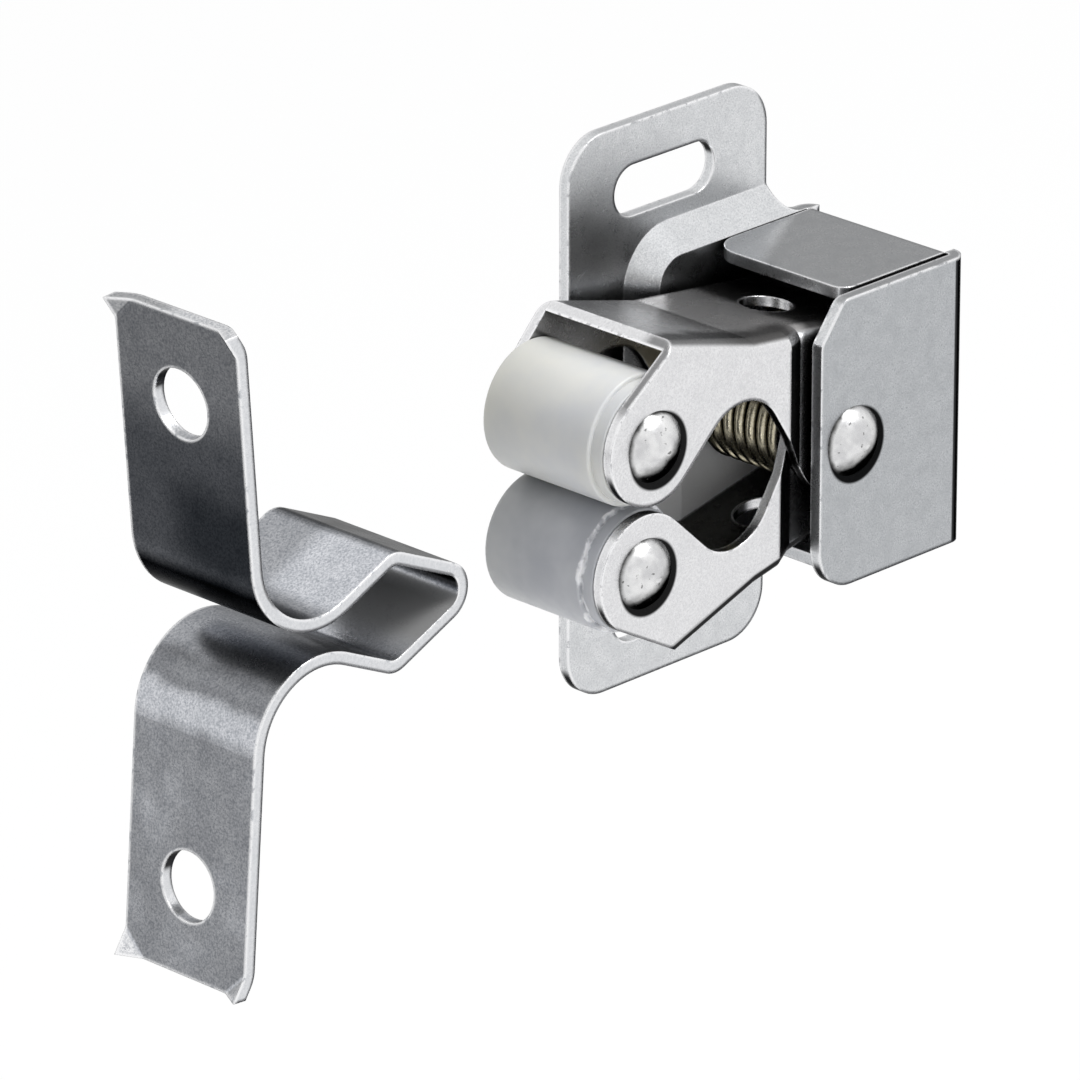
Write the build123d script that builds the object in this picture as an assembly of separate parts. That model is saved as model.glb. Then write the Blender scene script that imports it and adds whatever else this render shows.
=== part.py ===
from build123d import *
import os
from collections import namedtuple
from math import acos, asin, atan2, cos, degrees, hypot, radians, sin, sqrt, tan

# A double roller catch for a cupboard door, with its spear-shaped striker, in millimetres.
# +X runs from the striker into the catch, +Y into the cupboard wall and +Z up. The origin is the
# centre of the two fixing slots, on the face of the base plate that lies against the wall.

# Base plate with its fixing slots
HOUSING_SHEET = 0.9
PLATE_FRONT = -9.6
PLATE_WIDTH = 20.0
PLATE_HEIGHT = 42.0
PLATE_CORNER = 3.5
SLOT_SPACING = 32.0
SLOT_LENGTH = 10.1
SLOT_WIDTH = 3.8

# Pressed-out middle of the plate, which leaves room for the far rivet head
RAISE = 1.4
RAISE_FOOT_FRONT = -4.1
RAISE_FOOT_CORNER = 4.4
RAISE_SLOPE_WIDTH = 2.2

# Box of the housing: rear wall, near wall and the two flanges
HOUSING_REAR = 14.3
HOUSING_DEPTH = 16.6
HOUSING_HEIGHT = 21.4
HOUSING_BEND = 1.25
HOUSING_NECK_CORNER = 2.5
NEAR_WALL_FRONT = -0.7
NEAR_WALL_TOP_CUT = 2.3
NEAR_WALL_TOP_CUT_HEIGHT = 2.9
NEAR_WALL_TOP_CORNER = 1.0
NEAR_WALL_BOTTOM_CORNER = 3.2
FLANGE_FRONT = 3.0
FLANGE_CORNER = 2.4
FLANGE_GAP_TO_PLATE = 0.15
FLANGE_GAP_TO_WALL = 0.5

# Pivot and roller axes, all along Y
PIVOT_X = 2.6
ROLLER_X = -16.6
ROLLER_HALF_SPACING = 4.8
PIVOT_SHANK_RADIUS = 1.5
ROLLER_SHANK_RADIUS = 1.25
RUNNING_CLEARANCE = 0.08

# Domed rivet heads
HEAD_RADIUS = 2.55
HEAD_HEIGHT = 1.35
TAIL_RADIUS = 2.1
TAIL_HEIGHT = 0.9

# Arms: channels of sheet, the lower one nested inside the upper one at the pivot. Their cheeks
# step inwards by the sheet's thickness before they enter the housing.
ARM_SHEET = 0.75
ARM_STAND_IN = 0.7
ARM_FAR_CLEARANCE = 0.93
NESTING_CLEARANCE = 0.15
JOGGLE_FRONT = -3.0
JOGGLE_REAR = -1.3
LOBE_RADIUS = 4.3
FAR_LOBE_RADIUS = 3.2
LUG_RADIUS = 4.0
ARCH_RADIUS = 4.0
ARCH_FRONT_ANGLE = 43.0
ARCH_REAR_ANGLE = 57.4
ARM_BEND = 1.2
WEB_REAR = 9.0
WEB_HOLE_RADIUS = 1.9
WEB_HOLE_X = 1.2
Web = namedtuple("Web", "corner kink rear_slope")
UPPER_WEB = Web(corner=(-14.4, 11.75), kink=(-6.4, 9.6), rear_slope=7.0)
LOWER_WEB = Web(corner=(-12.8, 11.8), kink=(-5.2, 9.15), rear_slope=12.0)

# Rollers
ROLLER_RADIUS = 4.75
ROLLER_END_CLEARANCE = 0.05
ROLLER_EDGE = 0.3
ROLLER_SHOULDER = 1.0
ROLLER_SHOULDER_RADIUS = 4.4
ROLLER_BORE_CLEARANCE = 0.08

# Torsion spring round the pivot pin
SPRING_WIRE = 0.9
SPRING_RADIUS = 3.5
SPRING_TURNS = 7
SPRING_END_CLEARANCE = 0.45
SPRING_LEG_X = 8.2
SPRING_LEG_CLEARANCE = 0.15

# Striker
STRIKER_SHEET = 0.9
STRIKER_WIDTH = 11.5
STRIKER_PLATE_X = -54.2
STRIKER_HEIGHT = 47.4
STRIKER_LEAN = 4.2
STRIKER_HOLE_SPACING = 34.6
STRIKER_HOLE_RADIUS = 2.5
STRIKER_VALLEY_RADIUS = 5.7
STRIKER_VALLEY_SLOPE = 24.5
STRIKER_CREST_REACH = 12.6
STRIKER_CREST_RISE = 4.0
STRIKER_CREST_RADIUS = 1.6
STRIKER_NOSE_SLOPE = 24.2
STRIKER_NOSE_RADIUS = 1.7
SPIKE_LEG = 2.0
SPIKE_BEND = 0.9
SPIKE_ANGLE = 38.0

PIVOT = (PIVOT_X, 0.0)
ROLLER = (ROLLER_X, ROLLER_HALF_SPACING)
RAISED_FACE = -(RAISE + HOUSING_SHEET)
WALL_INNER = -(HOUSING_DEPTH - HOUSING_SHEET)
UPPER_ARM_NEAR = ARM_STAND_IN - HOUSING_DEPTH
UPPER_ARM_FAR = RAISED_FACE - ARM_FAR_CLEARANCE
LOWER_ARM_NEAR = UPPER_ARM_NEAR + ARM_SHEET + NESTING_CLEARANCE
LOWER_ARM_FAR = UPPER_ARM_FAR - NESTING_CLEARANCE
STRIKER_NEAR = UPPER_ARM_NEAR


def upright(y):
    """The plane at depth y whose sketches are drawn in X and Z."""
    return Plane.XZ.offset(-y)


def block(profile, y_far, y_near):
    """A profile drawn in X and Z, filled from depth y_far to y_near."""
    return extrude(upright(y_far) * profile, amount=y_far - y_near)


def column(profile, z_low, z_high):
    """A profile drawn in X and Y, filled from z_low to z_high."""
    return extrude(Pos(0, 0, z_low) * profile, amount=z_high - z_low)


def rod(x, z, radius, y_far, y_near):
    """A round bar along Y."""
    return block(Pos(x, z) * Circle(radius), y_far, y_near)


def polygon(corners, radii=0):
    """A closed outline whose corners are rounded by the given radii."""
    return make_face(FilletPolyline(*corners, radius=radii, close=True))


def crossing(point, angle, other_point, other_angle):
    """Where two lines, each given by a point and an angle in degrees, meet."""
    ux, uz = cos(radians(angle)), sin(radians(angle))
    vx, vz = cos(radians(other_angle)), sin(radians(other_angle))
    dx, dz = other_point[0] - point[0], other_point[1] - point[1]
    reach = (dx * vz - dz * vx) / (ux * vz - uz * vx)
    return (point[0] + reach * ux, point[1] + reach * uz)


def around(centre, radius, angle):
    """The point of a circle at an angle in degrees."""
    return (centre[0] + radius * cos(radians(angle)), centre[1] + radius * sin(radians(angle)))


def angle_between(start, end):
    return degrees(atan2(end[1] - start[1], end[0] - start[0]))


LUG_FRONT = around(PIVOT, LUG_RADIUS, 270 - ARCH_REAR_ANGLE)


def plate_outline():
    """The flat plate with its two ears and the neck that turns into the rear wall."""
    plate_rear = PLATE_FRONT + PLATE_WIDTH
    neck_rear = HOUSING_REAR - HOUSING_BEND
    top, neck = PLATE_HEIGHT / 2, HOUSING_HEIGHT / 2
    corners = [
        (PLATE_FRONT, -top), (plate_rear, -top), (plate_rear, -neck), (neck_rear, -neck),
        (neck_rear, neck), (plate_rear, neck), (plate_rear, top), (PLATE_FRONT, top),
    ]
    radii = [PLATE_CORNER, PLATE_CORNER, HOUSING_NECK_CORNER, 0,
             0, HOUSING_NECK_CORNER, PLATE_CORNER, PLATE_CORNER]
    return polygon(corners, radii)


def raised_outline(inset):
    """The outline of the pressed-out middle, drawn in from its foot by inset and open to the rear."""
    front = RAISE_FOOT_FRONT + inset
    top = HOUSING_HEIGHT / 2 + RAISE_SLOPE_WIDTH - inset
    rear = 2 * HOUSING_REAR
    corner = RAISE_FOOT_CORNER - inset
    corners = [(front, -top), (rear, -top), (rear, top), (front, top)]
    return polygon(corners, [corner, 0, 0, corner])


def raised_form(foot_y):
    """The volume under the pressed-out middle, standing on depth foot_y."""
    foot = upright(foot_y) * raised_outline(0)
    crown = upright(foot_y - RAISE) * raised_outline(RAISE_SLOPE_WIDTH)
    return loft([foot, crown], ruled=True)


def pressed_plate():
    outline = plate_outline()
    flat = block(outline, 0, -HOUSING_SHEET) + raised_form(-HOUSING_SHEET)
    pressed = flat - raised_form(0)
    pressed = pressed & block(outline, 1, -HOUSING_DEPTH)
    for side in (-1, 1):
        slot = Pos(0, side * SLOT_SPACING / 2) * SlotOverall(SLOT_LENGTH, SLOT_WIDTH)
        pressed -= block(slot, 1, -HOUSING_DEPTH)
    return pressed


def bent_section(front, low, high, flat_rear):
    """A U-shaped section, open towards -X, whose rear bends have the housing's radius."""
    outer = polygon([(front, low), (flat_rear, low), (flat_rear, high), (front, high)],
                    [0, HOUSING_BEND, HOUSING_BEND, 0])
    inner_bend = HOUSING_BEND - HOUSING_SHEET
    inner_rear = flat_rear - HOUSING_SHEET
    inner_low, inner_high = low + HOUSING_SHEET, high - HOUSING_SHEET
    inner = polygon([(front - 1, inner_low), (inner_rear, inner_low),
                     (inner_rear, inner_high), (front - 1, inner_high)],
                    [0, inner_bend, inner_bend, 0])
    return outer - inner


def near_wall_trim():
    """The outline of the near wall, with its slanted top corner and rounded bottom corner."""
    top, rear = HOUSING_HEIGHT / 2, HOUSING_REAR + 1
    corners = [
        (NEAR_WALL_FRONT, -top), (rear, -top), (rear, top), (NEAR_WALL_FRONT + NEAR_WALL_TOP_CUT, top),
        (NEAR_WALL_FRONT, top - NEAR_WALL_TOP_CUT_HEIGHT),
    ]
    radii = [NEAR_WALL_BOTTOM_CORNER, 0, 0, NEAR_WALL_TOP_CORNER, NEAR_WALL_TOP_CORNER]
    return polygon(corners, radii)


def housing():
    """The whole folded sheet: plate, rear wall, near wall and the two flanges."""
    half = HOUSING_HEIGHT / 2
    walls = column(bent_section(NEAR_WALL_FRONT, -HOUSING_DEPTH, -RAISE, HOUSING_REAR), -half, half)
    walls = walls & block(near_wall_trim(), 0, -HOUSING_DEPTH)
    flange_far = RAISED_FACE - FLANGE_GAP_TO_PLATE
    flange_near = WALL_INNER + FLANGE_GAP_TO_WALL
    section = bent_section(FLANGE_FRONT, -half, half, HOUSING_REAR)
    flanges = block(section, flange_far, flange_near)
    trim = polygon([(FLANGE_FRONT, flange_near), (2 * HOUSING_REAR, flange_near),
                    (2 * HOUSING_REAR, flange_far), (FLANGE_FRONT, flange_far)],
                   [FLANGE_CORNER / 2, 0, 0, FLANGE_CORNER])
    flanges = flanges & column(trim, -half, half)
    strip = Pos(HOUSING_REAR - HOUSING_BEND / 2, 0) * Rectangle(HOUSING_BEND, HOUSING_HEIGHT)
    corner_room = block(strip, flange_far, flange_near)
    walls = walls - corner_room + (corner_room & block(section, flange_far, flange_near))
    body = pressed_plate() + walls + flanges
    return body - rod(PIVOT_X, 0, PIVOT_SHANK_RADIUS, 0, -HOUSING_DEPTH - 1)


def web_height(web, x):
    """The height of the outside of a web at x, behind its kink."""
    return web.kink[1] - (x - web.kink[0]) * tan(radians(web.rear_slope))


def arm_profile(web, lobe_radius):
    """The side outline of an upper arm: web on top, roller lobe in front, pivot lug at the rear."""
    web_rear = (WEB_REAR, web_height(web, WEB_REAR))
    to_lobe = hypot(ROLLER[0] - web.corner[0], ROLLER[1] - web.corner[1])
    front_angle = angle_between(web.corner, ROLLER) - degrees(asin(lobe_radius / to_lobe))
    lobe_front = around(ROLLER, lobe_radius, front_angle - 90)
    lobe_rear = around(ROLLER, lobe_radius, ARCH_FRONT_ANGLE - 90)
    lug_front = LUG_FRONT
    lug_rear_angle = angle_between(PIVOT, web_rear) - degrees(
        acos(LUG_RADIUS / hypot(web_rear[0] - PIVOT[0], web_rear[1] - PIVOT[1])))
    lug_rear = around(PIVOT, LUG_RADIUS, lug_rear_angle)
    apex = crossing(lobe_rear, ARCH_FRONT_ANGLE, lug_front, -ARCH_REAR_ANGLE)
    lobe_start = front_angle - 90
    lobe_end = ARCH_FRONT_ANGLE - 90
    lug_start = 270 - ARCH_REAR_ANGLE
    lines = [
        Line(web.corner, web.kink),
        Line(web.kink, web_rear),
        Line(web_rear, lug_rear),
        CenterArc(PIVOT, LUG_RADIUS, lug_start, lug_rear_angle + 360 - lug_start),
        Line(lug_front, apex),
        Line(apex, lobe_rear),
        CenterArc(ROLLER, lobe_radius, lobe_start, (lobe_end - lobe_start) % 360),
        Line(lobe_front, web.corner),
    ]
    face = make_face(lines)
    corner = face.vertices().sort_by_distance(Vector(apex[0], apex[1], 0))[0]
    return fillet(corner, radius=ARCH_RADIUS)


def arm_plan(near, far, far_step, inset):
    """The outline of an arm seen from above, drawn in by inset at the two cheeks."""
    front, rear = ROLLER_X - 2 * LOBE_RADIUS, WEB_REAR + 2 * LOBE_RADIUS
    low, high = near + inset, far - inset
    far_end = crossing(LUG_FRONT, -ARCH_REAR_ANGLE, PIVOT, 0)[0] - NESTING_CLEARANCE
    far_start = far_end - JOGGLE_REAR + JOGGLE_FRONT
    corners = [
        (front, low), (JOGGLE_FRONT, low), (JOGGLE_REAR, low + ARM_SHEET), (rear, low + ARM_SHEET),
        (rear, high - far_step), (far_end, high - far_step), (far_start, high), (front, high),
    ]
    return polygon(corners)


def channel_room(web):
    """The side outline of the space under an arm's web, open to the front, rear and bottom."""
    slope = angle_between(web.corner, web.kink)
    front_inner = around(web.corner, ARM_SHEET, slope - 90)
    rear_inner = around(web.kink, ARM_SHEET, -web.rear_slope - 90)
    kink_inner = crossing(front_inner, slope, rear_inner, -web.rear_slope)
    far_front = ROLLER_X - 2 * LOBE_RADIUS
    far_rear = WEB_REAR + 2 * LOBE_RADIUS
    top_front = crossing(front_inner, slope, (far_front, 0), 90)
    top_rear = crossing(rear_inner, -web.rear_slope, (far_rear, 0), 90)
    floor = -2 * LUG_RADIUS
    return polygon([top_front, kink_inner, top_rear, (far_rear, floor), (far_front, floor)])


def arm(near, far, far_step, web):
    """An arm in the upper arm's attitude, between depths near and far."""
    low, high = -2 * LUG_RADIUS, 2 * web.corner[1]
    outside = block(arm_profile(web, LOBE_RADIUS), far, near)
    outside = outside & column(arm_plan(near, far, far_step, 0), low, high)
    bends = outside.edges().filter_by(lambda edge: is_web_edge(edge, web))
    outside = fillet(bends, ARM_BEND)
    inside = block(channel_room(web), far, near)
    inside = inside & column(arm_plan(near, far, far_step, ARM_SHEET), low, high)
    shell = outside - inside
    spare = arm_profile(web, LOBE_RADIUS) - arm_profile(web, FAR_LOBE_RADIUS)
    shell -= block(spare, far, far - ARM_SHEET)
    hole = Pos(WEB_HOLE_X, (near + far) / 2) * Circle(WEB_HOLE_RADIUS)
    shell -= column(hole, LUG_RADIUS, high)
    shell -= rod(ROLLER_X, ROLLER_HALF_SPACING, ROLLER_SHANK_RADIUS, far + 1, near - 1)
    return shell - rod(PIVOT_X, 0, PIVOT_SHANK_RADIUS + RUNNING_CLEARANCE, far + 1, near - 1)


def is_web_edge(edge, web):
    """Whether an edge runs along the web, from front to rear, where the web meets a cheek."""
    start, end = edge @ 0, edge @ 1
    if abs(start.X - end.X) < ARM_SHEET:
        return False
    slope = tan(radians(angle_between(web.corner, web.kink)))
    for point in (start, end):
        if point.X < web.kink[0]:
            height = web.kink[1] + (point.X - web.kink[0]) * slope
        else:
            height = web_height(web, point.X)
        if abs(point.Z - height) > 0.01:
            return False
    return True


def dome(radius, height, base, direction):
    """The edge of a domed head in radius and depth, from its rim at base to its crown."""
    sphere = (radius ** 2 + height ** 2) / (2 * height)
    half = asin(radius / sphere) / 2
    middle = (sphere * sin(half), base + direction * (height - sphere + sphere * cos(half)))
    return ThreePointArc((radius, base), middle, (0, base + direction * height))


def rivet(x, z, shank_radius, near, far):
    """A rivet along Y with its domed head at depth near and its closed tail at depth far."""
    crown, end = near - HEAD_HEIGHT, far + TAIL_HEIGHT
    lines = [
        dome(HEAD_RADIUS, HEAD_HEIGHT, near, -1),
        Line((HEAD_RADIUS, near), (shank_radius, near)),
        Line((shank_radius, near), (shank_radius, far)),
        Line((shank_radius, far), (TAIL_RADIUS, far)),
        dome(TAIL_RADIUS, TAIL_HEIGHT, far, 1),
        Line((0, end), (0, crown)),
    ]
    return Pos(x, 0, z) * revolve(make_face(lines), Axis.Y)


def roller(near, far):
    """A roller between cheeks whose outer faces are at depths near and far, with a shoulder at its near end."""
    bore = ROLLER_SHANK_RADIUS + ROLLER_BORE_CLEARANCE
    low = near + ARM_SHEET + ROLLER_END_CLEARANCE
    high = far - ARM_SHEET - ROLLER_END_CLEARANCE
    shoulder = low + ROLLER_SHOULDER
    corners = [(bore, low), (ROLLER_SHOULDER_RADIUS, low), (ROLLER_SHOULDER_RADIUS, shoulder),
               (ROLLER_RADIUS, shoulder), (ROLLER_RADIUS, high), (bore, high)]
    edge = ROLLER_EDGE
    section = polygon(corners, [0, edge / 2, 0, (ROLLER_RADIUS - ROLLER_SHOULDER_RADIUS) / 2, edge, 0])
    return Pos(ROLLER_X, 0, ROLLER_HALF_SPACING) * revolve(section, Axis.Y)


def leg_tip(web):
    """Where a leg of the spring presses on a web's tail, in X and Z."""
    reach = (ARM_SHEET + SPRING_LEG_CLEARANCE + SPRING_WIRE / 2) / cos(radians(web.rear_slope))
    return (SPRING_LEG_X, web_height(web, SPRING_LEG_X) - reach)


def torsion_spring():
    """A close-wound coil on the pivot, with two tangent legs that press the tails of the webs apart."""
    near = LOWER_ARM_NEAR + 2 * ARM_SHEET + SPRING_END_CLEARANCE + SPRING_WIRE / 2
    far = LOWER_ARM_FAR - 2 * ARM_SHEET - SPRING_END_CLEARANCE - SPRING_WIRE / 2
    angles, reaches = [], []
    for web in (LOWER_WEB, UPPER_WEB):
        tip = leg_tip(web)
        distance = hypot(tip[0] - PIVOT_X, tip[1])
        angles.append(angle_between(PIVOT, tip) + degrees(acos(SPRING_RADIUS / distance)))
        reaches.append(sqrt(distance ** 2 - SPRING_RADIUS ** 2))
    turns = SPRING_TURNS - sum(angles) / 360
    coil = Helix((far - near) / turns, far - near, SPRING_RADIUS)
    coil = Pos(PIVOT_X, near, 0) * Rot(-90, 0, 0) * Rot(0, 0, angles[0]) * coil
    section = Circle(SPRING_WIRE / 2)
    spring = sweep(Plane(origin=coil @ 0, z_dir=coil % 0) * section, path=coil, is_frenet=True)
    for end, way, reach in ((0, -1, reaches[0]), (1, 1, reaches[1])):
        along = coil % end
        leg = Plane(origin=coil @ end, z_dir=along * way) * section
        spring += extrude(leg, amount=reach / hypot(along.X, along.Z))
    return spring


def striker_end():
    """The frame at the upper end of the striker: Y across, then down the plate, then behind it."""
    lean = radians(STRIKER_LEAN)
    top_x = STRIKER_PLATE_X - (STRIKER_HEIGHT / 2 - STRIKER_VALLEY_RADIUS) * tan(lean)
    origin = (top_x, STRIKER_NEAR + STRIKER_WIDTH / 2, STRIKER_HEIGHT / 2)
    return Plane(origin=origin, x_dir=(0, 1, 0), z_dir=(-cos(lean), 0, -sin(lean)))


def striker_strip():
    """The bent strip of the striker: two plates, two valleys, two crests and the nose between them."""
    crest = (STRIKER_PLATE_X + STRIKER_CREST_REACH, STRIKER_CREST_RISE)
    end = striker_end().origin
    valley = crossing((end.X, end.Z), 90 + STRIKER_LEAN, crest, STRIKER_VALLEY_SLOPE)
    nose = (crest[0] + crest[1] / tan(radians(STRIKER_NOSE_SLOPE)), 0)
    upper = [(end.X, end.Z), valley, crest]
    lower = [(x, -z) for x, z in reversed(upper)]
    radii = [STRIKER_VALLEY_RADIUS, STRIKER_CREST_RADIUS, STRIKER_NOSE_RADIUS,
             STRIKER_CREST_RADIUS, STRIKER_VALLEY_RADIUS]
    middle = FilletPolyline(*upper, nose, *lower, radius=radii)
    return block(trace(middle, STRIKER_SHEET), STRIKER_NEAR + STRIKER_WIDTH, STRIKER_NEAR)


def corner_spike():
    """A corner bent towards the door as a spike, in the frame of the striker's end."""
    half, leg = STRIKER_WIDTH / 2, SPIKE_LEG
    bend = CenterArc((0, -SPIKE_BEND), SPIKE_BEND, 90 - SPIKE_ANGLE, SPIKE_ANGLE)
    tip = Line(bend @ 0, (bend @ 0) + Vector(leg * cos(radians(SPIKE_ANGLE)), -leg * sin(radians(SPIKE_ANGLE))))
    fold = Plane(origin=(half - leg / 2, leg / 2, 0), x_dir=(1, -1, 0), z_dir=(1, 1, 0))
    bent = extrude(fold * trace([bend, tip], STRIKER_SHEET), amount=leg, both=True)
    corner = polygon([(half - leg, 0), (half, 0), (half, leg)])
    return bent & extrude(corner, amount=leg, both=True)


def striker():
    """The striker's strip with a screw hole and two corner spikes at each end."""
    half, leg = STRIKER_WIDTH / 2, SPIKE_LEG
    hole_down = (STRIKER_HEIGHT - STRIKER_HOLE_SPACING) / 2 / cos(radians(STRIKER_LEAN))
    corner = polygon([(half - leg - 1, -1), (half + 1, -1), (half + 1, leg + 1)])
    cuts = Pos(0, hole_down) * Circle(STRIKER_HOLE_RADIUS) + corner + mirror(corner, about=Plane.YZ)
    spike = corner_spike()
    place = striker_end().location
    cutter = place * extrude(cuts, amount=STRIKER_SHEET, both=True)
    spikes = place * (spike + mirror(spike, about=Plane.YZ))
    return striker_strip() - (cutter + mirror(cutter, about=Plane.XY)) + (
        spikes + mirror(spikes, about=Plane.XY))


def roller_pin(near, far):
    return rivet(ROLLER_X, ROLLER_HALF_SPACING, ROLLER_SHANK_RADIUS, near, far)


def main():
    os.makedirs("parts", exist_ok=True)
    pieces = {
        "housing": housing(),
        "pivot_pin": rivet(PIVOT_X, 0, PIVOT_SHANK_RADIUS, -HOUSING_DEPTH, -RAISE),
        "torsion_spring": torsion_spring(),
        "striker": striker(),
        "upper_arm": arm(UPPER_ARM_NEAR, UPPER_ARM_FAR, 0, UPPER_WEB),
        "upper_roller": roller(UPPER_ARM_NEAR, UPPER_ARM_FAR),
        "upper_roller_pin": roller_pin(UPPER_ARM_NEAR, UPPER_ARM_FAR),
    }
    lower = {
        "lower_arm": arm(LOWER_ARM_NEAR, LOWER_ARM_FAR, ARM_SHEET, LOWER_WEB),
        "lower_roller": roller(LOWER_ARM_NEAR, LOWER_ARM_FAR),
        "lower_roller_pin": roller_pin(LOWER_ARM_NEAR, LOWER_ARM_FAR),
    }
    for name, solid in lower.items():
        pieces[name] = mirror(solid, about=Plane.XY)
    for name, solid in pieces.items():
        export_step(solid, f"parts/{name}.step")


main()
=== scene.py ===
import bpy
from collections import namedtuple
from math import cos, pi, radians, sin
from mathutils import Matrix, Vector


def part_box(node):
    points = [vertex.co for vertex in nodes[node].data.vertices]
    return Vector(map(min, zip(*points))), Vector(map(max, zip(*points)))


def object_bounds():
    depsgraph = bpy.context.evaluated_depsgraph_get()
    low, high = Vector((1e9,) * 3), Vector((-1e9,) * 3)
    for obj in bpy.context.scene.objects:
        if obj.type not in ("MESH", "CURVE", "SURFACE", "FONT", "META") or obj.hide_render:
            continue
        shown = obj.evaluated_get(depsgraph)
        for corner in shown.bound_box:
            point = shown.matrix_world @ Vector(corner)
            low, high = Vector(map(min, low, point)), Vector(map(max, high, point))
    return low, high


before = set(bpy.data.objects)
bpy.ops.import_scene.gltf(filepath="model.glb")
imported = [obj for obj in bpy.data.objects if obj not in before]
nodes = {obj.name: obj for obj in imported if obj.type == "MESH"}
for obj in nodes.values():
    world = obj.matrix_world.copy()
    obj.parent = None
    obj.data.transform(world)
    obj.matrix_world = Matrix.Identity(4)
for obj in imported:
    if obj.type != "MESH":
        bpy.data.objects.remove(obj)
cad_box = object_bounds()
bpy.context.scene.view_settings.view_transform = "Standard"

MM = 0.001
X, Y, Z = (1, 0, 0), (0, 1, 0), (0, 0, 1)
NEAR, UP, DOWN, DOOR = (0, -1, 0), (0, 0, 1), (0, 0, -1), (-1, 0, 0)

# The view: degrees round and up, then the lens's place and the picture's scale in millimetres
VIEW_AZIMUTH = 45.7
VIEW_ELEVATION = 22.2
VIEW_DISTANCE = 700.0
VIEW_ACROSS = -8.032
VIEW_UP = -10.582
PIXELS_PER_MM = 14.221
IMAGE_PIXELS = 1080
SENSOR_WIDTH = 36.0
CLIP_NEAR = 10.0
CLIP_FAR = 20000.0

# Studio
WHITE = (1.0, 1.0, 1.0, 1.0)
ROOM_DIM = (0.30, 0.31, 0.33, 1.0)
ROOM_BRIGHT = (0.95, 0.95, 0.95, 1.0)
ROOM_BRIGHT_SIDE = (0.55, -0.4, 0.73)
KEY_PLACE = (160, -300, 620)
KEY_AIM = (-20, -8, 0)
KEY_SIZE = 300.0
KEY_POWER = 3.0
FLOOR_BELOW = 75.0
FLOOR_REACH = 3000.0
FLOOR_GLOW = 0.85

# Edges get a painted highlight towards the upper left, and painted shade away from it and at the lower
# left
BRIGHT_SIDE = (-0.7, 0.0, 0.7)
DARK_SIDE = (0.7, 0.0, -0.7)
LOW_CORNER = (-0.66, 0.0, -0.75)
EDGE_WIDTH = 0.42
PAINTED_RIM_HIGHLIGHT = (0.95, 0.95, 0.96, 1.0)
PAINTED_SHADE_LINE = (0.03, 0.03, 0.035, 1.0)
CUT_EDGE = (0.70, 0.71, 0.73, 1.0)
ROUNDING_SAMPLES = 6

# How dark the painted shade on a hemmed-in face becomes
PAINTED_CREVICE_SHADE = (0.07, 0.07, 0.07, 1.0)
CREVICE_SHADE_SAMPLES = 8

# How little the metals reflect where they are seen edge-on
EDGE_TINT = (0.4, 0.4, 0.4, 1.0)
RIVET_EDGE_TINT = (0.1, 0.1, 0.1, 1.0)

# A bent strip's painted reflection tones are slightly blue, and its end stands at this height
COOL = (0.985, 1.0, 1.035)
STRIP_END_HEIGHT = 15.0

# The painted shadow round a rivet's head: how far it is shifted in X and Z, and where it ends
RING_SHIFT = Vector((0.36, 0.0, -0.40))
RING_RADIUS = 2.95
RING_SOLID_RADIUS = 2.7

# The painted shade crescent on a rivet's head looks down and to the right
CRESCENT_SIDE = (0.55, 0.0, -0.83)

# A stretch of a piece painted with light or shade: the faces that look a given way, its limits in
# millimetres along directions, how soft its border is, and its tint. Borders softer than WANDERING also
# wander.
Zone = namedtuple("Zone", "facing limits soft tint")
WANDERING = 0.2

# A mixing node's sockets for its factor, its two colours and the mixed colour
MIX_FACTOR, MIX_FIRST, MIX_SECOND = 0, 6, 7
MIX_RESULT = 2


def grey(tone):
    return (tone, tone, tone, 1.0)


def make(tree, kind, inputs=(), **settings):
    """A shader node. Each input is a number, a colour or another node's output."""
    made = tree.nodes.new("ShaderNode" + kind)
    for name, value in settings.items():
        setattr(made, name, value)
    for key, value in dict(inputs).items():
        if isinstance(value, bpy.types.NodeSocket):
            tree.links.new(value, made.inputs[key])
        else:
            made.inputs[key].default_value = value
    return made


def maths(tree, operation, first, second=0.0, third=0.0):
    return make(tree, "Math", {0: first, 1: second, 2: third}, operation=operation).outputs[0]


def product(tree, first, second):
    return maths(tree, "MULTIPLY", first, second)


def vector_maths(tree, operation, first, second):
    return make(tree, "VectorMath", {0: first, 1: second}, operation=operation)


def along(tree, vector, way):
    """How far a vector reaches a given way."""
    return vector_maths(tree, "DOT_PRODUCT", vector, way).outputs["Value"]


def span(tree, value, low, high, to_low=0.0, to_high=1.0):
    """A value carried from one range to another, smoothly and clamped."""
    inputs = {"Value": value, "From Min": low, "From Max": high, "To Min": to_low, "To Max": to_high}
    return make(tree, "MapRange", inputs, interpolation_type="SMOOTHSTEP").outputs["Result"]


def blended(tree, factor, first, second, blend_type="MIX"):
    """A colour between two others."""
    inputs = {MIX_FACTOR: factor, MIX_FIRST: first, MIX_SECOND: second}
    made = make(tree, "Mix", inputs, data_type="RGBA", blend_type=blend_type)
    return made.outputs[MIX_RESULT]


def tinted(tree, mask, colour, tint):
    """A colour multiplied by a tint where the mask is one."""
    return blended(tree, mask, colour, tint, blend_type="MULTIPLY")


def noise(tree, place, size_mm, detail=3.0, roughness=0.55):
    """Noise whose features are about size_mm across."""
    inputs = {"Vector": place, "Scale": 1 / (size_mm * MM), "Detail": detail, "Roughness": roughness}
    return make(tree, "TexNoise", inputs).outputs[0]


def wander(tree, place, size_mm, detail, reach):
    """Noise that strays about zero, by up to half its reach."""
    return maths(tree, "MULTIPLY_ADD", noise(tree, place, size_mm, detail), reach, -reach / 2)


def bump(tree, height, strength, depth_mm, inputs=()):
    """A normal that a height disturbs."""
    all_inputs = {"Height": height, "Strength": strength, "Distance": depth_mm * MM, **dict(inputs)}
    return make(tree, "Bump", all_inputs).outputs[0]


def place_on_piece(tree):
    return make(tree, "TexCoord").outputs["Object"]


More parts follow.
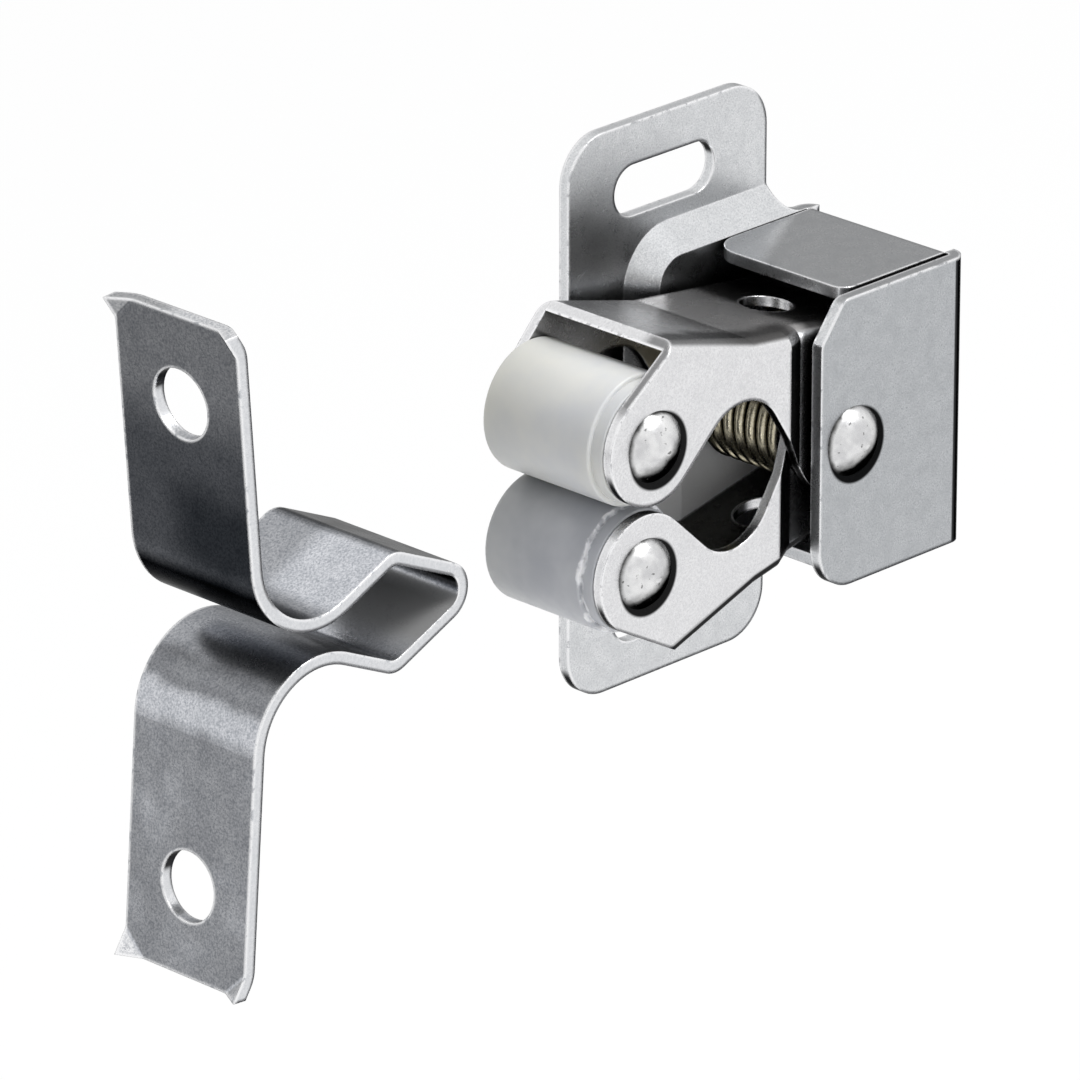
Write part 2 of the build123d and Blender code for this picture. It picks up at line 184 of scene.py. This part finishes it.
def face_normal(tree):
    return make(tree, "TexCoord").outputs["Normal"]


def rounded_normal(tree, radius_mm):
    return make(tree, "Bevel", {"Radius": radius_mm * MM}, samples=ROUNDING_SAMPLES).outputs[0]


def new_material(name):
    """An empty node material, and its surface socket."""
    material = bpy.data.materials.new(name)
    material.use_nodes = True
    tree = material.node_tree
    tree.nodes.clear()
    output = make(tree, "OutputMaterial")
    return material, tree, output.inputs["Surface"]


def cover(tree, surface, inputs):
    """Joins a shader with these inputs to a material's surface."""
    shader = make(tree, "BsdfPrincipled", inputs)
    tree.links.new(shader.outputs[0], surface)


def zone_mask(tree, place, zone):
    """One inside a zone, and zero outside it."""
    mask = span(tree, along(tree, face_normal(tree), zone.facing), 0.6, 0.85)
    for way, (low, high) in zone.limits.items():
        value = along(tree, place, way)
        if low is not None:
            above = span(tree, value, (low - zone.soft) * MM, (low + zone.soft) * MM)
            mask = product(tree, mask, above)
        if high is not None:
            below = span(tree, value, (high + zone.soft) * MM, (high - zone.soft) * MM)
            mask = product(tree, mask, below)
    return mask


def zoned(tree, place, colour, zones):
    """A colour with the painted light or shade of each zone's tint."""
    drift = wander(tree, place, 3.0, 3.0, 2 * MM)
    strayed = vector_maths(tree, "ADD", place, drift).outputs[0]
    for zone in zones:
        spot = place if zone.soft < WANDERING else strayed
        colour = tinted(tree, zone_mask(tree, spot, zone), colour, zone.tint)
    return colour


def grained(tree, place, light, dark, grain_mm, mottle, grain, patches):
    """Zinc's colour with fine grain, faint patches and small specks.

    The mottle is how dark they are, from none to the whole dark colour.
    """
    shade = maths(tree, "ADD", span(tree, grain, 0.35, 0.7, 0.0, mottle),
                  span(tree, patches, 0.35, 0.7, 0.0, 0.2 * mottle))
    specks = span(tree, noise(tree, place, 1.2 * grain_mm, 2.0), 0.52, 0.68, 0.0, mottle)
    return blended(tree, maths(tree, "MAXIMUM", shade, specks), light, dark)


def tone_ramp(tree, place, stops):
    """A painted reflection tone for each turn of a bent sheet, in degrees from -180 to 180."""
    ramp = make(tree, "ValToRGB", {0: place})
    ramp.color_ramp.interpolation = "EASE"
    for _ in range(len(stops) - 2):
        ramp.color_ramp.elements.new(0.5)
    for element, (degrees, tone) in zip(ramp.color_ramp.elements, stops):
        element.position = degrees / 360 + 0.5
        element.color = (*(share * tone for share in COOL), 1.0)
    return ramp.outputs["Color"]


def painted_turn_reflections(tree, place, colour, above, below):
    """A bent sheet's colour with painted reflections, whose tone follows how far the sheet has turned
    from -X up to +Z.

    The painted tones are one list above the middle and another below it. Cut edges and the sheet's
    top end keep their own brightness.
    """
    facing = make(tree, "SeparateXYZ", {0: face_normal(tree)}).outputs
    height = along(tree, place, Z)
    angle = maths(tree, "ARCTAN2", facing["Z"], product(tree, facing["X"], -1.0))
    turn = maths(tree, "ADD", maths(tree, "MULTIPLY_ADD", angle, 0.5 / pi, 0.5),
                 wander(tree, place, 5.0, 4.0, 0.05))
    tones = blended(tree, span(tree, height, -0.2 * MM, 0.2 * MM), tone_ramp(tree, turn, below),
                    tone_ramp(tree, turn, above))
    sideways = maths(tree, "ABSOLUTE", facing["Y"])
    colour = blended(tree, span(tree, sideways, 0.6, 0.9, 0.0, 0.75), colour, CUT_EDGE)
    high_up = span(tree, height, (STRIP_END_HEIGHT - 1) * MM, (STRIP_END_HEIGHT + 1) * MM)
    end = product(tree, high_up, span(tree, facing["Z"], 0.4, 0.7))
    on_sheet = product(tree, span(tree, sideways, 0.42, 0.3), maths(tree, "SUBTRACT", 1.0, end))
    return tinted(tree, on_sheet, colour, tones)


def painted_edge_shade(tree, colour):
    """A colour with painted shade, nearly black on the rounded edges that look away from the light."""
    normal = face_normal(tree)
    away = product(tree, span(tree, along(tree, normal, DARK_SIDE), 0.04, 0.18),
                   span(tree, along(tree, normal, NEAR), 0.2, 0.6))
    low_corner = span(tree, along(tree, normal, LOW_CORNER), 0.80, 0.93)
    return tinted(tree, maths(tree, "MAXIMUM", away, low_corner), colour, grey(0.06))


def ring_shadow(tree, place, colour, rivet):
    """A painted shadow on a near face at the lower right of a rivet's head."""
    low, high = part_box(rivet)
    centre = (low + high) / 2 + RING_SHIFT * MM
    centre.y = 0.0
    across = vector_maths(tree, "MULTIPLY", place, (1, 0, 1)).outputs[0]
    distance = vector_maths(tree, "DISTANCE", across, centre).outputs["Value"]
    ring = span(tree, distance, RING_RADIUS * MM, RING_SOLID_RADIUS * MM)
    near = span(tree, along(tree, face_normal(tree), NEAR), 0.6, 0.9)
    return tinted(tree, product(tree, near, ring), colour, grey(0.02))


def painted_edge_highlight_and_shade(tree, place, colour, dark):
    """A painted highlight as a bright pitted rim on the edges towards the light, and painted shade as a
    fine dark line on the others.
    """
    rounded = rounded_normal(tree, EDGE_WIDTH)
    flat = make(tree, "NewGeometry").outputs["True Normal"]
    flatness = along(tree, rounded, flat)
    lit = along(tree, rounded, BRIGHT_SIDE)
    pits = span(tree, noise(tree, place, 0.7), 0.56, 0.64, 0.0, 0.75)
    rim = product(tree, span(tree, flatness, 0.99, 0.90), span(tree, lit, -0.05, 0.1))
    colour = blended(tree, rim, colour, blended(tree, pits, PAINTED_RIM_HIGHLIGHT, dark))
    line = product(tree, span(tree, flatness, 0.999, 0.985), span(tree, lit, 0.0, -0.1))
    return blended(tree, line, colour, PAINTED_SHADE_LINE)


def crevice_shaded(tree, colour, reach_mm):
    """A colour with painted shade that darkens where other faces are within reach."""
    made = make(tree, "AmbientOcclusion", {"Distance": reach_mm * MM}, samples=CREVICE_SHADE_SAMPLES)
    return blended(tree, span(tree, made.outputs["AO"], 0.2, 0.75), PAINTED_CREVICE_SHADE, colour)


def steel(name, light, dark, rough, grain_mm, mottle, zones=(), rivets=(), turns=(), painted_light_patch=None,
          crevice_shade_mm=3.0):
    """Bright zinc plate: fine grain, soft waves in the reflection, and sheared edges with a painted
    highlight towards the light and painted shade away from it, and painted shade in crevices.

    The zones paint light and shade by place. The turns are a bent sheet's painted reflection tones
    above and below its middle. The patch is a zone of pale non-metal paint instead of bright metal:
    painted light.
    """
    material, tree, surface = new_material(name)
    place = place_on_piece(tree)
    grain = noise(tree, place, grain_mm, 4.0, 0.7)
    patches = noise(tree, place, 12 * grain_mm)
    colour = grained(tree, place, light, dark, grain_mm, mottle, grain, patches)
    # Painted light and shade by zone
    colour = zoned(tree, place, colour, zones)
    # Painted reflection tones that follow a bent sheet's turns
    if turns:
        colour = painted_turn_reflections(tree, place, colour, *turns)
    # Painted shade on the edges that look away from the light
    colour = painted_edge_shade(tree, colour)
    # A painted shadow round each rivet's head
    for rivet in rivets:
        colour = ring_shadow(tree, place, colour, rivet)
    # Painted highlight on the edges towards the light, and a painted shade line on the others
    colour = painted_edge_highlight_and_shade(tree, place, colour, dark)
    # Painted shade where other faces are close by
    colour = crevice_shaded(tree, colour, crevice_shade_mm)
    metal = 1.0
    # Painted light: a patch of pale non-metal paint instead of bright metal
    if painted_light_patch:
        light_patch_mask = zone_mask(tree, place, painted_light_patch)
        colour = blended(tree, light_patch_mask, colour, painted_light_patch.tint)
        metal = maths(tree, "SUBTRACT", 1.0, light_patch_mask)
    gloss = span(tree, patches, 0.2, 0.8, rough - 0.02, rough + 0.03)
    waves = bump(tree, noise(tree, place, 11.0, 1.0), 0.3, 0.1, {"Normal": rounded_normal(tree, 0.12)})
    cover(tree, surface, {
        "Base Color": colour, "Metallic": metal, "Specular Tint": EDGE_TINT,
        "Roughness": maths(tree, "MULTIPLY_ADD", grain, 0.08, gloss),
        "Normal": bump(tree, grain, 0.22, 0.02, {"Normal": waves}),
    })
    return material


def rivet_steel():
    """Polished heads, bright in the middle, with painted shade: a dark crescent away from the light and a
    dark outline on the steep sides.
    """
    material, tree, surface = new_material("rivet_steel")
    place = place_on_piece(tree)
    normal = face_normal(tree)
    fine = noise(tree, place, 0.35, 4.0, 0.6)
    clouds = noise(tree, place, 1.3)
    colour = blended(tree, span(tree, clouds, 0.35, 0.7), grey(0.82), (0.62, 0.62, 0.63, 1.0))
    ragged = maths(tree, "MULTIPLY_ADD", clouds, 0.3, -0.15)
    # Painted shade: a crescent on the side of the head away from the light, dark grey then black
    low_side = maths(tree, "ADD", along(tree, normal, CRESCENT_SIDE), ragged)
    colour = blended(tree, span(tree, low_side, -0.10, 0.22), colour, grey(0.22))
    colour = blended(tree, span(tree, low_side, 0.12, 0.28), colour, grey(0.02))
    # Painted shade: a dark outline on the head's steep sides
    facing = maths(tree, "ABSOLUTE", along(tree, normal, NEAR))
    tilt = maths(tree, "MULTIPLY_ADD", ragged, 0.3, facing)
    colour = blended(tree, span(tree, tilt, 0.66, 0.60), colour, grey(0.06))
    pits = span(tree, noise(tree, place, 0.45, 2.0), 0.66, 0.72, 0.0, 0.8)
    colour = blended(tree, pits, colour, grey(0.12))
    cover(tree, surface, {
        "Base Color": colour, "Metallic": 1.0, "Specular Tint": RIVET_EDGE_TINT,
        "Roughness": span(tree, fine, 0.3, 0.7, 0.22, 0.32), "Normal": bump(tree, fine, 0.2, 0.03),
    })
    return material


def nylon(name, light, dark, ring, ring_strength):
    """Translucent moulded nylon, greyer in patches and darker and warmer towards the far end, with a
    broken pale ring at the near shoulder.
    """
    material, tree, surface = new_material(name)
    place = place_on_piece(tree)
    clouds = noise(tree, place, 5.0)
    fine = noise(tree, place, 0.5, 4.0)
    depth = along(tree, place, Y)
    colour = blended(tree, span(tree, clouds, 0.3, 0.7), light, dark)
    # Darker and warmer towards the far end
    colour = tinted(tree, span(tree, depth, -12 * MM, -3 * MM), colour, (0.86, 0.855, 0.82, 1.0))
    strayed = maths(tree, "ADD", depth, wander(tree, place, 1.2, 3.0, 0.9 * MM))
    offset = maths(tree, "ABSOLUTE", maths(tree, "SUBTRACT", strayed, ring * MM))
    broken = span(tree, noise(tree, place, 0.8, 4.0), 0.4, 0.6, 0.0, ring_strength)
    pale_ring = product(tree, span(tree, offset, 0.20 * MM, 0.03 * MM), broken)
    colour = blended(tree, pale_ring, colour, (0.97, 0.97, 0.98, 1.0))
    cover(tree, surface, {
        "Base Color": colour, "Roughness": span(tree, fine, 0.3, 0.7, 0.34, 0.46), "IOR": 1.53,
        "Subsurface Weight": 0.35, "Subsurface Radius": (1.0, 0.95, 0.85),
        "Subsurface Scale": 1.2 * MM, "Normal": bump(tree, fine, 0.12, 0.03),
    })
    return material


def housing_zinc():
    """Grey folded sheet with painted shade, darkest beside the arms and along its rear fold."""
    low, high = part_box("housing")
    near_wall_back = low.y / MM + 1.0
    rear_fold = high.x / MM - 1.3
    slanted = (-0.53, 0.85, 0)
    zones = [
        # The near wall, with painted shade
        Zone(NEAR, {Y: (None, near_wall_back)}, 0.3, (0.70, 0.71, 0.72, 1.0)),
        # Painted shade on the plate's pressed-out middle and its slope, on the rollers' side of the top
        # flange
        Zone(NEAR, {Y: (near_wall_back, None), X: (None, -4.5), Z: (6.0, 15.5)}, 3.0, grey(0.42)),
        # Painted shade on the same middle where it lies inside, behind the spring
        Zone(NEAR, {Y: (-3.5, None), X: (-6.0, None), Z: (-8.0, 8.5)}, 1.5, grey(0.10)),
        # A painted reflection on the top flange, near of a slanted line
        Zone(UP, {Z: (9.0, None), slanted: (None, -8.0)}, 0.6, grey(0.60)),
        # Painted shade on the fold between the near wall and the rear wall
        Zone(NEAR, {Y: (None, -14.0), X: (rear_fold, None)}, 0.08, grey(0.08)),
    ]
    return steel("housing_zinc", light=(0.80, 0.81, 0.82, 1.0), dark=(0.34, 0.35, 0.37, 1.0),
                 rough=0.24, grain_mm=0.10, mottle=0.6, zones=zones, rivets=["pivot_pin"],
                 crevice_shade_mm=1.6)


def arm_zinc():
    """Pale cheeks, webs with painted shade that darkens to the rear, and one painted highlight on the far
    cheek.
    """
    inside = (0.12, 0.12, 0.11, 1.0)
    zones = [
        # Painted shade on the upper web's rear, the strip under the top flange, and the bend to the near
        # cheek
        Zone(UP, {X: (-8.5, None), Z: (5.0, None)}, 3.5, (0.50, 0.49, 0.48, 1.0)),
        Zone(UP, {X: (-0.6, None), Z: (5.0, None)}, 0.8, grey(0.18)),
        Zone(UP, {X: (None, -2.0), Y: (None, -13.2), Z: (5.0, None)}, 0.7, grey(0.30)),
        # Painted shade on the inner sides of the upper and the lower web
        Zone(DOWN, {Z: (5.0, None)}, 1.0, inside),
        Zone(UP, {Z: (None, -5.0)}, 1.0, inside),
    ]
    # A painted highlight: pale non-metal paint on the inner face of the far cheek
    painted_light_patch = Zone(NEAR, {X: (-6.0, 6.0), Y: (-5.2, -4.0), Z: (-7.9, -2.5)}, 0.1, grey(0.97))
    return steel("arm_zinc", light=(0.82, 0.82, 0.83, 1.0), dark=(0.45, 0.45, 0.47, 1.0),
                 rough=0.22, grain_mm=0.16, mottle=0.35, zones=zones,
                 rivets=["upper_roller_pin", "lower_roller_pin"], painted_light_patch=painted_light_patch)


def striker_zinc():
    """One bent strip with painted reflections, light and dark by turns as it curves, and painted light on
    a dull inside to its head.
    """
    zones = [
        # Painted shade on the far side of the strip's upper half, and on the bend at the top of the lower
        # plate
        Zone(UP, {Y: (-9.5, None), Z: (0.0, None)}, 1.2, grey(0.62)),
        Zone(UP, {X: (None, -43.5), Z: (None, 0.0)}, 0.8, grey(0.48)),
        # Painted shade on the upper plate below its hole, darkest on its near side
        Zone(DOOR, {Z: (4.0, 16.5)}, 3.0, (0.42, 0.43, 0.45, 1.0)),
        Zone(DOOR, {Z: (5.0, 11.5), Y: (None, -9.0)}, 2.2, (0.36, 0.38, 0.40, 1.0)),
    ]
    # Painted reflection tones: pairs of degrees turned from facing the door, and how bright the sheet is
    # painted there
    above = [(-180, 0.9), (-62, 0.9), (-35, 0.65), (-20, 0.28), (-5, 0.22), (30, 0.45), (50, 0.80),
             (73, 0.82), (90, 0.46), (100, 0.22), (112, 0.12), (180, 0.3)]
    below = [(-180, 0.9), (-62, 0.9), (-30, 0.4), (-5, 0.30), (3, 0.37), (14, 0.76), (24, 0.74),
             (34, 0.32), (48, 0.40), (60, 1.0), (120, 1.0), (180, 0.9)]
    # Painted light: dull, pale non-metal paint inside the strip's head
    painted_light_patch = Zone((-0.5, 0, 0.87), {X: (-40.5, None), Z: (None, 0.5)}, 1.5, grey(0.30))
    return steel("striker_zinc", light=(0.96, 0.96, 0.97, 1.0), dark=(0.38, 0.40, 0.43, 1.0),
                 rough=0.24, grain_mm=0.16, mottle=0.8, zones=zones, turns=(above, below),
                 painted_light_patch=painted_light_patch, crevice_shade_mm=0.7)


def spring_wire():
    """Yellow passivated wire."""
    return steel("spring_wire", light=(0.62, 0.57, 0.42, 1.0), dark=(0.22, 0.19, 0.13, 1.0),
                 rough=0.22, grain_mm=0.2, mottle=0.5)


def dress(names, material):
    """Gives CAD nodes their material."""
    for name in names:
        mesh = nodes[name].data
        mesh.materials.clear()
        mesh.materials.append(material)


def add(name, data):
    """An object with this data, in the scene."""
    made = bpy.data.objects.new(name, data)
    bpy.context.scene.collection.objects.link(made)
    return made


def turn_to(thing, rotation):
    thing.rotation_mode = "QUATERNION"
    thing.rotation_quaternion = rotation


def set_up_camera():
    """The camera at its viewing angle."""
    azimuth, elevation = radians(VIEW_AZIMUTH), radians(VIEW_ELEVATION)
    ahead = Vector((sin(azimuth) * cos(elevation), cos(azimuth) * cos(elevation), -sin(elevation)))
    right = Vector((cos(azimuth), -sin(azimuth), 0))
    up = right.cross(ahead)
    data = bpy.data.cameras.new("camera")
    data.sensor_width = SENSOR_WIDTH
    data.lens = SENSOR_WIDTH * VIEW_DISTANCE * PIXELS_PER_MM / IMAGE_PIXELS
    data.clip_start = CLIP_NEAR * MM
    data.clip_end = CLIP_FAR * MM
    camera = add("camera", data)
    camera.location = MM * (VIEW_ACROSS * right + VIEW_UP * up - VIEW_DISTANCE * ahead)
    turn_to(camera, Matrix((right, up, -ahead)).transposed().to_quaternion())
    bpy.context.scene.camera = camera


def set_up_lamp():
    """A square soft light above and in front, aimed at the object."""
    data = bpy.data.lights.new("key", "AREA")
    data.size = KEY_SIZE * MM
    data.energy = KEY_POWER
    lamp = add("key", data)
    lamp.location = MM * Vector(KEY_PLACE)
    aim = MM * Vector(KEY_AIM) - lamp.location
    turn_to(lamp, aim.to_track_quat("-Z", "Y"))


def seen_rays(tree):
    """One for the rays that show the background: to the camera, in metal and through glass."""
    path = make(tree, "LightPath").outputs
    seen = maths(tree, "MAXIMUM", path["Is Camera Ray"], path["Is Glossy Ray"])
    return maths(tree, "MAXIMUM", seen, path["Is Transmission Ray"])


def set_up_world():
    """Soft room light, mostly from above and from the right, with a white background."""
    world = bpy.data.worlds.new("studio")
    bpy.context.scene.world = world
    world.use_nodes = True
    tree = world.node_tree
    tree.nodes.clear()
    output = make(tree, "OutputWorld")
    side = along(tree, make(tree, "TexCoord").outputs["Generated"], ROOM_BRIGHT_SIDE)
    room = blended(tree, span(tree, side, -0.6, 0.9), ROOM_DIM, ROOM_BRIGHT)
    light = make(tree, "Background", {"Color": room, "Strength": 1.0})
    white = make(tree, "Background", {"Color": WHITE, "Strength": 1.0})
    both = make(tree, "MixShader", {0: seen_rays(tree), 1: light.outputs[0], 2: white.outputs[0]})
    tree.links.new(both.outputs[0], output.inputs["Surface"])


def set_up_floor():
    """A plain pale floor, so far below the object that its soft shadow falls outside the picture."""
    material, tree, surface = new_material("floor")
    paint = make(tree, "BsdfDiffuse", {"Color": grey(0.9)})
    glow = make(tree, "Emission", {"Color": WHITE, "Strength": 1.0})
    share = product(tree, seen_rays(tree), FLOOR_GLOW)
    both = make(tree, "MixShader", {0: share, 1: paint.outputs[0], 2: glow.outputs[0]})
    tree.links.new(both.outputs[0], surface)
    height = cad_box[0].z - FLOOR_BELOW * MM
    half = FLOOR_REACH * MM
    corners = [(-half, -half, height), (half, -half, height), (half, half, height), (-half, half, height)]
    mesh = bpy.data.meshes.new("floor")
    mesh.from_pydata(corners, [], [(0, 1, 2, 3)])
    mesh.materials.append(material)
    add("floor", mesh)


set_up_camera()
set_up_world()
set_up_floor()
set_up_lamp()

dress(["housing"], housing_zinc())
dress(["upper_arm", "lower_arm"], arm_zinc())
dress(["striker"], striker_zinc())
dress(["pivot_pin", "upper_roller_pin", "lower_roller_pin"], rivet_steel())
dress(["torsion_spring"], spring_wire())
# The lower roller's nylon is given a darker grey than the upper roller's
dress(["upper_roller"], nylon("upper_nylon", light=(0.72, 0.72, 0.69, 1.0),
                              dark=(0.64, 0.65, 0.66, 1.0), ring=-14.1, ring_strength=0.05))
dress(["lower_roller"], nylon("lower_nylon", light=(0.50, 0.51, 0.53, 1.0),
                              dark=(0.40, 0.41, 0.44, 1.0), ring=-13.2, ring_strength=0.7))
